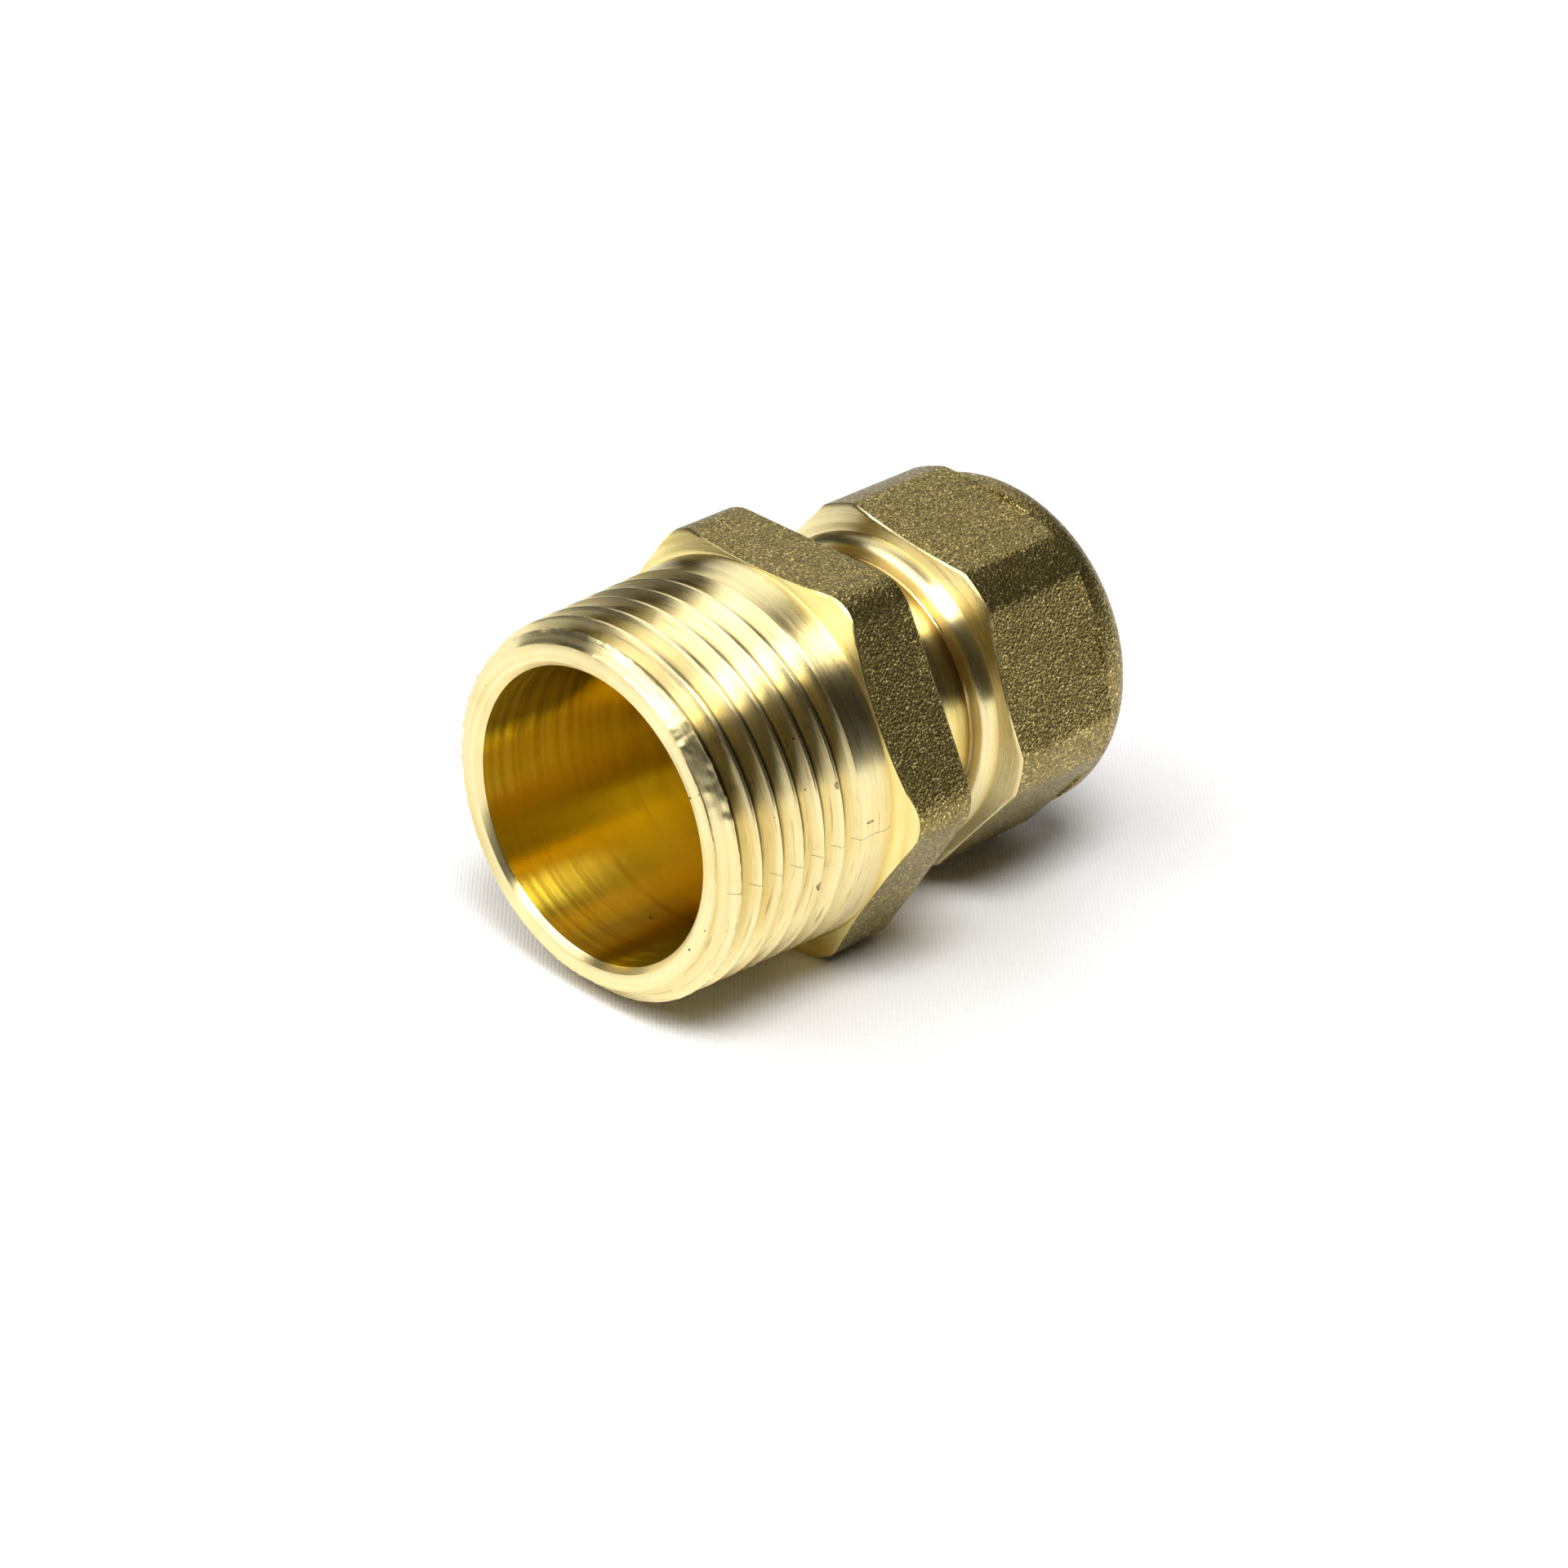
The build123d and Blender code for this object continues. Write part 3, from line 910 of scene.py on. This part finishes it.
class Shading(Wiring):
    """Wires one procedural material."""

    def __init__(self, name: str, axis: Axis) -> None:
        """Start a material with coordinates in millimetres round the part's axis.

        Args:
            name: Name of the material.
            axis: The part's axis in the frame.
        """
        self.material = bpy.data.materials.new(name)
        self.material.use_nodes = True
        super().__init__(self.material.node_tree)
        self.shader = self.tree.nodes["Principled BSDF"]
        inputs = {
            "Vector": self.node("ShaderNodeTexCoord").outputs["Object"],
            "Location": (-axis.mouth_x / MM, 0, -axis.height / MM),
            "Scale": (1 / MM, 1 / MM, 1 / MM),
        }
        self.centred = self.node("ShaderNodeMapping", inputs, vector_type="POINT").outputs["Vector"]

    def give(self, name: str, value: object) -> None:
        """Give one of the shader's inputs a socket or a constant."""
        self.put(value, self.shader.inputs[name])

    def outwards(self) -> Socket:
        """Vector from the axis straight out to the point."""
        return self.vector("MULTIPLY", self.centred, (0.0, 1.0, 1.0))

    def radius(self) -> Socket:
        """Distance from the axis."""
        return self.vector("LENGTH", self.outwards())

    def angle(self) -> Socket:
        """Angle in degrees round the axis, from straight up towards -Y."""
        _, side, height = self.split(self.centred)
        return self.number("DEGREES", self.number("ARCTAN2", self.times(side, -1.0), height))

    def noise(self, scale: float, detail: float) -> Socket:
        """Grey noise by its scale and detail."""
        inputs = {"Vector": self.centred, "Scale": scale, "Detail": detail}
        return self.node("ShaderNodeTexNoise", inputs).outputs["Fac"]

    def tool_lines(self, fineness: float, drag: float) -> Socket:
        """Lines that a lathe tool leaves round the axis, on any turned surface.

        Args:
            fineness: Lines in a millimetre, along the axis and outwards.
            drag: How fast a line changes as it goes round, per millimetre.

        Returns:
            The grey socket.
        """
        place, side, height = self.split(self.centred)
        ways = (self.times(place, fineness), self.times(self.radius(), fineness), self.times(side, drag))
        joined = self.node("ShaderNodeCombineXYZ", dict(enumerate(ways))).outputs["Vector"]
        inputs = {"Vector": joined, "W": self.times(height, drag), "Scale": 1.0, "Detail": 2.0}
        return self.node("ShaderNodeTexNoise", inputs, noise_dimensions="4D").outputs["Fac"]

    def cells(self, density: float) -> tuple[Socket, Socket]:
        """Scattered cells.

        Args:
            density: Cells in a millimetre.

        Returns:
            Distance from the nearest cell's middle, and a number of its own for each cell.
        """
        texture = self.node("ShaderNodeTexVoronoi", {"Vector": self.centred, "Scale": density})
        colour = self.node("ShaderNodeSeparateColor", {"Color": texture.outputs["Color"]})
        return texture.outputs["Distance"], colour.outputs["Red"]

    def specks(self, density: float, share: float, reach: float) -> Socket:
        """Scattered round specks.

        Args:
            density: Cells in a millimetre.
            share: Share of the cells that hold a speck.
            reach: Largest radius of a speck in cells.

        Returns:
            One inside the specks and zero outside.
        """
        distance, number = self.cells(density)
        size = self.ramp(number, 1 - share, 1.0, 0.0, reach)
        return self.number("LESS_THAN", distance, size)

    def bump(self, heights: list[tuple[Socket, float]]) -> None:
        """Chain bumps into the shader's normal.

        Args:
            heights: Grey sockets with the depth of each in millimetres.
        """
        earlier = {}
        for height, depth in heights:
            inputs = {"Height": height, "Distance": depth * MM, **earlier}
            earlier = {"Normal": self.node("ShaderNodeBump", inputs).outputs["Normal"]}
        self.give("Normal", earlier["Normal"])

    def brush_round_axis(self, strength: float) -> None:
        """Stretch reflections across tool lines that run round the axis.

        Args:
            strength: Anisotropy of the shader.
        """
        round_axis = self.vector("CROSS_PRODUCT", (1.0, 0.0, 0.0), self.outwards())
        inputs = {"Vector": self.vector("NORMALIZE", round_axis)}
        spaces = {"vector_type": "VECTOR", "convert_from": "OBJECT", "convert_to": "WORLD"}
        turned = self.node("ShaderNodeVectorTransform", inputs, **spaces)
        self.give("Tangent", turned.outputs["Vector"])
        self.give("Anisotropic", strength)
        quarter_turn = 0.25
        self.give("Anisotropic Rotation", quarter_turn)


@dataclass(frozen=True)
class MachinedBrass:
    """Bright turned brass with fine lines round the axis."""

    axis: Axis
    name: str = "machined_brass"
    bright: Colour = (0.95, 0.83, 0.45)
    deep: Colour = (0.86, 0.67, 0.27)
    # Colour of stains, which the threads also use for the painted shade in their roots.
    stain_and_shade: Colour = (0.10, 0.07, 0.02)
    stain_density: float = 0.9
    stain_share: float = 0.16
    stain_reach: float = 0.1
    roughness: Ramp = (0.35, 0.65, 0.23, 0.34)
    anisotropy: float = 1.0
    line_depth: float = 0.013
    fine_depth: float = 0.007
    fine_lines: float = 11.0
    coarse_lines: float = 2.6
    drag: float = 0.16
    coarse_drag: float = 0.4
    line_tone: Ramp = (0.5, 0.75, 0.0, 0.7)
    patches: Noise = (0.3, 4.0)
    patch_tone: Ramp = (0.5, 0.75, 0.0, 0.5)

    def colour(self, shading: Shading, streaks: Socket) -> Socket:
        """Colour of the metal, by the share of its deeper tone."""
        specks = shading.specks(self.stain_density, self.stain_share, self.stain_reach)
        return shading.blend(specks, shading.blend(streaks, self.bright, self.deep), self.stain_and_shade)

    def material(self) -> Material:
        """Make the material.

        Returns:
            The material.
        """
        shading = Shading(self.name, self.axis)
        fine = shading.tool_lines(self.fine_lines, self.drag)
        coarse = shading.tool_lines(self.coarse_lines, self.drag * self.coarse_drag)
        patches = shading.ramp(shading.noise(*self.patches), *self.patch_tone)
        streaks = shading.number("ADD", shading.ramp(coarse, *self.line_tone), patches)
        shading.give("Metallic", 1.0)
        shading.give("Base Color", self.colour(shading, streaks))
        shading.give("Roughness", shading.ramp(coarse, *self.roughness))
        shading.bump([(coarse, self.line_depth), (fine, self.fine_depth)])
        shading.brush_round_axis(self.anisotropy)
        return shading.material


@dataclass(frozen=True)
class BoreBrass(MachinedBrass):
    """Amber turned brass of the bore, smoother than the outside."""

    name: str = "bore_brass"
    bright: Colour = (0.735, 0.56, 0.06)
    deep: Colour = (0.65, 0.48, 0.045)
    roughness: Ramp = (0.35, 0.65, 0.19, 0.25)
    line_depth: float = 0.003
    fine_depth: float = 0.001
    drag: float = 0.05


@dataclass(frozen=True)
class NeckBrass(MachinedBrass):
    """Golden turned brass whose deeper gold is painted reflected light, with painted shade where the neck
    runs into the nut.
    """

    name: str = "golden_brass"
    # The deeper gold of these tones is painted reflected light from the brass around the cone and neck.
    bright: Colour = (0.96, 0.80, 0.33)
    deep: Colour = (0.86, 0.66, 0.18)
    # Painted shade in the gap where the neck runs into the nut, rising between these places.
    shade: Colour = (0.34, 0.19, 0.02)
    shade_places: tuple[float, float] = (24.5, 25.5)

    def colour(self, shading: Shading, streaks: Socket) -> Socket:
        """Colour of the metal, by the share of its deeper tone, with painted shade near the nut."""
        gap_shade = shading.ramp(shading.split(shading.centred)[0], *self.shade_places)
        return shading.blend(gap_shade, super().colour(shading, streaks), self.shade)


@dataclass(frozen=True)
class ThreadBrass(MachinedBrass):
    """Turned brass of the threads: gold as painted reflected light in the grooves, painted shade in the
    roots, and cracks, nicks and a pit in the crests.
    """

    name: str = "thread_brass"
    gauge_place: float = 9.5
    gauge_radius: float = 13.2205
    taper: float = 1 / 32
    # Painted reflected light: the grooves turn more golden with depth under the crests.
    groove_reflection: Colour = (0.90, 0.76, 0.36)
    groove_reflection_depths: Ramp = (0.3, 1.162, 0.0, 0.7)
    scratch: Colour = (0.50, 0.35, 0.13)
    scratch_lines: float = 6.0
    scratch_drag: float = 0.25
    scratch_tone: Ramp = (0.6, 0.7, 0.0, 0.7)
    # Painted shade: the roots turn towards the stain colour, except near the mouth.
    root_shade_depths: Ramp = (0.97, 1.1, 0.0, 0.85)
    root_shade_places: tuple[float, float] = (1.0, 1.4)
    wander: Noise = (0.8, 4.0)
    crack_path: Ramp = (0.2, 0.8, 90.1, 91.7)
    crack_edge: Ramp = (0.085, 0.17, 0.6, 0.0)
    crack_depths: Ramp = (0.5, 0.8, 1.0, 0.0)
    rag_path: Ramp = (0.25, 0.75, 0.6, 1.15)
    rag_edge: Ramp = (0.03, 0.09, 0.9, 0.0)
    rag_start: tuple[float, float] = (-46.0, -42.0)
    rag_end: Ramp = (-18.0, -8.0, 1.0, 0.0)
    rim_reach: float = 0.85
    rim_edge: Ramp = (0.1, 0.3, 0.9, 0.0)
    mark_edge: Ramp = (0.7, 1.0, 0.5, 0.0)
    marks: tuple[tuple[float, float, float, float], ...] = (
        (8.4, 100.9, 0.26, 0.36),
        (12.4, 86.4, 0.3, 0.1),
        (1.08, 46.0, 0.1, 0.25),
        (0.98, 33.6, 0.07, 0.4),
        (9.88, 71.7, 0.1, 0.25),
    )

    def mark(self, shading: Shading, place: float, angle: float, along: float, across: float) -> Socket:
        """Distance from the middle of an oval mark.

        Args:
            shading: The material that is being wired.
            place: Place of the mark.
            angle: Its angle in degrees.
            along: Half its width along the axis.
            across: Half its width round the axis.

        Returns:
            The distance, one at the mark's edge.
        """
        arc = math.radians(self.gauge_radius)
        aside = shading.times(shading.number("SUBTRACT", shading.angle(), angle), arc / across)
        ahead = shading.number("SUBTRACT", shading.split(shading.centred)[0], place)
        squares = [shading.number("POWER", way, 2.0) for way in (aside, shading.times(ahead, 1 / along))]
        return shading.number("SQRT", shading.number("ADD", *squares))

    def dirt(self, shading: Shading, place: Socket, below: Socket) -> Socket:
        """Dark marks in the crests: a crack, the edge of the rag, and pits and nicks.

        Args:
            shading: The material that is being wired.
            place: Place along the axis.
            below: Depth under the crests.

        Returns:
            Share of the marks.
        """
        wander = shading.noise(*self.wander)
        off_crack = shading.apart(shading.angle(), shading.ramp(wander, *self.crack_path))
        crack = shading.ramp(off_crack, *self.crack_edge)
        dirt = shading.times(crack, shading.ramp(below, *self.crack_depths))
        off_rag = shading.apart(place, shading.ramp(wander, *self.rag_path))
        begun = shading.ramp(shading.angle(), *self.rag_start)
        ended = shading.ramp(shading.angle(), *self.rag_end)
        rag = shading.times(shading.ramp(off_rag, *self.rag_edge), shading.times(begun, ended))
        dirt = shading.number("MAXIMUM", dirt, rag)
        for mark in self.marks:
            reach = self.mark(shading, *mark)
            rim = shading.ramp(shading.apart(reach, self.rim_reach), *self.rim_edge)
            inside = shading.ramp(reach, *self.mark_edge)
            dirt = shading.number("MAXIMUM", dirt, shading.number("MAXIMUM", rim, inside))
        return dirt

    def colour(self, shading: Shading, streaks: Socket) -> Socket:
        """Colour of the metal, with painted reflected light in the grooves and painted shade in the roots.

        Args:
            shading: The material that is being wired.
            streaks: Share of the deeper tone.

        Returns:
            The colour socket.
        """
        place = shading.split(shading.centred)[0]
        start = self.gauge_radius - self.gauge_place * self.taper
        crest = shading.number("MULTIPLY_ADD", place, self.taper, start)
        below = shading.number("SUBTRACT", crest, shading.radius())
        metal = super().colour(shading, streaks)
        # Painted reflected light, more golden deeper in the grooves.
        metal = shading.blend(shading.ramp(below, *self.groove_reflection_depths), metal, self.groove_reflection)
        scored = shading.tool_lines(self.scratch_lines, self.scratch_drag)
        metal = shading.blend(shading.ramp(scored, *self.scratch_tone), metal, self.scratch)
        # Painted shade in the roots, from a little past the mouth.
        past_mouth = shading.ramp(place, *self.root_shade_places)
        root = shading.times(shading.ramp(below, *self.root_shade_depths), past_mouth)
        metal = shading.blend(root, metal, self.stain_and_shade)
        return shading.blend(self.dirt(shading, place, below), metal, self.stain_and_shade)


@dataclass(frozen=True)
class BlastedBrass:
    """Dull forged brass, blasted to a fine sparkling grain."""

    axis: Axis
    dark: Colour = (0.13, 0.10, 0.03)
    light: Colour = (0.64, 0.505, 0.17)
    spark: Colour = (0.95, 0.80, 0.34)
    spark_share: float = 0.28
    spark_reach: float = 0.45
    roughness: Ramp = (0.3, 0.7, 0.44, 0.3)
    grain: Noise = (7.5, 3.0)
    grain_tone: Ramp = (0.38, 0.66, 0.0, 1.0)
    grain_depth: float = 0.0175
    pits: Noise = (3.0, 3.0)
    pit_depth: float = 0.035
    smudges: Noise = (0.35, 5.0)
    smudge_tone: Ramp = (0.35, 0.6, 0.8, 1.0)
    facets: float = 5.25
    facet_tone: Ramp = (0.0, 1.0, 0.35, 1.25)
    facet_depth: float = 0.045

    def material(self) -> Material:
        """Make the material.

        Returns:
            The material.
        """
        shading = Shading("blasted_brass", self.axis)
        grain = shading.noise(*self.grain)
        pits = shading.noise(*self.pits)
        smudges = shading.ramp(shading.noise(*self.smudges), *self.smudge_tone)
        facets, number = shading.cells(self.facets)
        share = shading.times(shading.ramp(grain, *self.grain_tone), smudges)
        share = shading.times(share, shading.ramp(number, *self.facet_tone))
        sparks = shading.specks(self.facets, self.spark_share, self.spark_reach)
        shading.give("Metallic", 1.0)
        bed = shading.blend(share, self.dark, self.light)
        shading.give("Base Color", shading.blend(sparks, bed, self.spark))
        shading.give("Roughness", shading.ramp(grain, *self.roughness))
        shading.bump([(pits, self.pit_depth), (grain, self.grain_depth), (facets, self.facet_depth)])
        return shading.material


@dataclass(frozen=True)
class PlainSolid:
    """Rubber or plastic with a faint mottle."""

    axis: Axis
    name: str
    dark: Colour
    light: Colour
    roughness: float
    mottle: Noise = (0.9, 4.0)
    mottle_range: tuple[float, float] = (0.35, 0.65)
    mottle_depth: float = 0.01

    def material(self) -> Material:
        """Make the material.

        Returns:
            The material.
        """
        shading = Shading(self.name, self.axis)
        mottle = shading.noise(*self.mottle)
        share = shading.ramp(mottle, *self.mottle_range)
        shading.give("Base Color", shading.blend(share, self.dark, self.light))
        shading.give("Roughness", self.roughness)
        shading.bump([(mottle, self.mottle_depth)])
        return shading.material


@dataclass(frozen=True)
class WhitePlastic(PlainSolid):
    """White plastic of the washer."""

    name: str = "white_plastic"
    dark: Colour = (0.78, 0.77, 0.73)
    light: Colour = (0.86, 0.85, 0.82)
    roughness: float = 0.4


@dataclass(frozen=True)
class BlackRubber(PlainSolid):
    """Black rubber of the seal rings."""

    name: str = "black_rubber"
    dark: Colour = (0.012, 0.012, 0.013)
    light: Colour = (0.03, 0.03, 0.03)
    roughness: float = 0.45


@dataclass(frozen=True)
class Studio:
    """Pale cloth floor, lamp, ceiling and lit far wall in a dim room, and the camera."""

    axis: Axis
    floor_half: float = 4.0
    floor_parts: int = 8
    floor_colour: Colour = (0.90, 0.888, 0.892)
    thread_colour: Colour = (0.83, 0.815, 0.82)
    bounce_colour: Colour = (0.86, 0.85, 0.845)
    floor_roughness: float = 0.9
    floor_gloss: float = 0.1
    weave: float = 2.6
    thread_depth: float = 0.05
    folds: Noise = (0.05, 2.0)
    fold_depth: float = 0.4
    room_colour: Colour = (0.032, 0.030, 0.027)
    far_room_colour: Colour = (1.55, 1.53, 1.46)
    far_room_height: float = 37.0
    far_room_reach: tuple[float, float] = (27.0, 9.0)
    backdrop_colour: Colour = (1.0, 1.0, 1.0)
    backdrop_top: tuple[float, float] = (0.06, 0.03)
    overhead_foot: tuple[float, float] = (0.0, 0.04)
    ceiling_strength: float = 4.2
    ceiling_along: tuple[float, float] = (-1.4, -0.3)
    ceiling_across: tuple[float, float] = (-0.3, 0.95)
    ceiling_edge: float = 0.4
    lamp_strength: float = 20.0
    lamp_slopes: tuple[float, float] = (-0.29, -0.37)
    lamp_reach: float = 0.24
    lamp_edge: float = 0.18
    camera_place: tuple[float, float, float] = (-0.18995, -0.17489, 0.15335)
    camera_tilt: float = 29.287
    camera_heading: float = 42.904
    camera_roll: float = -2.884
    sensor: float = 36.0
    focal_pixels: float = 5367.66
    photo_pixels: float = 1920.0

    def cloth(self) -> Material:
        """Make the pale woven cloth.

        Returns:
            The material.
        """
        shading = Shading("pale_cloth", self.axis)
        ways = shading.split(shading.centred)[:2]
        waves = [shading.number("SINE", shading.times(way, self.weave * FULL_TURN)) for way in ways]
        threads = shading.ramp(shading.times(*waves), -1.0, 1.0)
        cloth = shading.blend(threads, self.floor_colour, self.thread_colour)
        seen = shading.node("ShaderNodeLightPath").outputs["Is Camera Ray"]
        shading.give("Base Color", shading.blend(seen, self.bounce_colour, cloth))
        shading.give("Roughness", self.floor_roughness)
        shading.give("Specular IOR Level", self.floor_gloss)
        shading.bump([(shading.noise(*self.folds), self.fold_depth), (threads, self.thread_depth)])
        return shading.material

    def floor(self) -> None:
        """Lay the floor."""
        shape = bmesh.new()
        parts = {"x_segments": self.floor_parts, "y_segments": self.floor_parts}
        bmesh.ops.create_grid(shape, size=self.floor_half, **parts)
        data = bpy.data.meshes.new("floor_cloth")
        shape.to_mesh(data)
        shape.free()
        data.materials.append(self.cloth())
        floor = bpy.data.objects.new("floor_cloth", data)
        bpy.context.scene.collection.objects.link(floor)

    def room(self) -> None:
        """Light the world.

        Overhead are a compact lamp and a wide ceiling. Under them is a dim room with a lit far wall and
        a pale backdrop near the horizon. The camera itself sees white all round.
        """
        world = bpy.data.worlds.new("studio_room")
        bpy.context.scene.world = world
        world.use_nodes = True
        wiring = Wiring(world.node_tree)
        direction = wiring.node("ShaderNodeTexCoord").outputs["Generated"]
        height = wiring.split(direction)[2]
        slopes = wiring.vector("DIVIDE", direction, height)
        above = wiring.edge(height, *self.overhead_foot)
        ceiling = above
        for side, (first, last) in zip(wiring.split(slopes), (self.ceiling_along, self.ceiling_across)):
            for limit, inwards in ((first, self.ceiling_edge / 2), (last, -self.ceiling_edge / 2)):
                inside = wiring.edge(side, limit - inwards, limit + inwards)
                ceiling = wiring.times(ceiling, inside)
        off_lamp = wiring.vector("DISTANCE", slopes, (*self.lamp_slopes, 1.0))
        rim = (self.lamp_reach + self.lamp_edge / 2, self.lamp_reach - self.lamp_edge / 2)
        lamp = wiring.times(above, wiring.edge(off_lamp, *rim))
        turn, rise = math.radians(self.camera_heading), math.radians(self.far_room_height)
        flat = math.cos(rise)
        middle = (math.cos(turn) * flat, math.sin(turn) * flat, math.sin(rise))
        towards_far = wiring.vector("DOT_PRODUCT", direction, middle)
        far = wiring.edge(towards_far, *[math.cos(math.radians(angle)) for angle in self.far_room_reach])
        backdrop = wiring.edge(height, *self.backdrop_top)
        seen = wiring.node("ShaderNodeLightPath").outputs["Is Camera Ray"]
        colour = self.room_colour
        for share, layer in (
            (far, self.far_room_colour),
            (ceiling, (self.ceiling_strength,) * 3),
            (lamp, (self.lamp_strength,) * 3),
            (backdrop, self.backdrop_colour),
            (seen, self.backdrop_colour),
        ):
            colour = wiring.blend(share, colour, layer)
        wiring.put(colour, world.node_tree.nodes["Background"].inputs["Color"])

    def camera(self) -> None:
        """Place the camera at the photograph's angle, and keep the plain view."""
        data = bpy.data.cameras.new("photo_camera")
        data.sensor_width = self.sensor
        data.lens = self.focal_pixels / self.photo_pixels * self.sensor
        camera = bpy.data.objects.new("photo_camera", data)
        camera.location = self.camera_place
        tilt = math.radians(90 - self.camera_tilt)
        heading = math.radians(self.camera_heading - 90)
        roll = Matrix.Rotation(math.radians(-self.camera_roll), 3, "Z")
        camera.rotation_euler = (Euler((tilt, 0, heading), "XYZ").to_matrix() @ roll).to_euler()
        scene = bpy.context.scene
        scene.collection.objects.link(camera)
        scene.camera = camera
        scene.view_settings.view_transform = "Standard"


def place_piece(piece: Piece, node: str, body: str) -> None:
    """Let a piece stand for a CAD node.

    Args:
        piece: The finished piece.
        node: Name of the node.
        body: Body that the piece moves with.
    """
    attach(piece, body)
    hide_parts(node)
    LOG.info("%s stands for %s", piece.name, node)


def main() -> None:
    """Build the pieces in order and report each."""
    logging.basicConfig(level=logging.INFO, format="%(message)s")
    axis = Axis()
    machined = MachinedBrass(axis).material()
    bore = BoreBrass(axis).material()
    golden = NeckBrass(axis).material()
    threads = ThreadBrass(axis).material()
    blasted = BlastedBrass(axis).material()
    rubber = BlackRubber(axis).material()
    plastic = WhitePlastic(axis).material()
    body = FittingBody(axis).build([machined, blasted, bore, threads, golden])
    place_piece(body, "body", "fitting_body")
    place_piece(CompressionNut(axis).build(machined, blasted), "compression_nut", "nut")
    place_piece(ClampRing(axis).build(machined), "split_ring", "clamp_ring")
    seals = Seals(axis)
    place_piece(seals.washer(plastic), "insulating_washer", "fitting_body")
    for node, place in zip(("front_o_ring", "rear_o_ring"), seals.ring_places):
        place_piece(seals.ring(f"{node}_rubberwork", place, rubber), node, "fitting_body")
    studio = Studio(axis)
    studio.floor()
    studio.room()
    studio.camera()


if __name__ == "__main__":
    main()
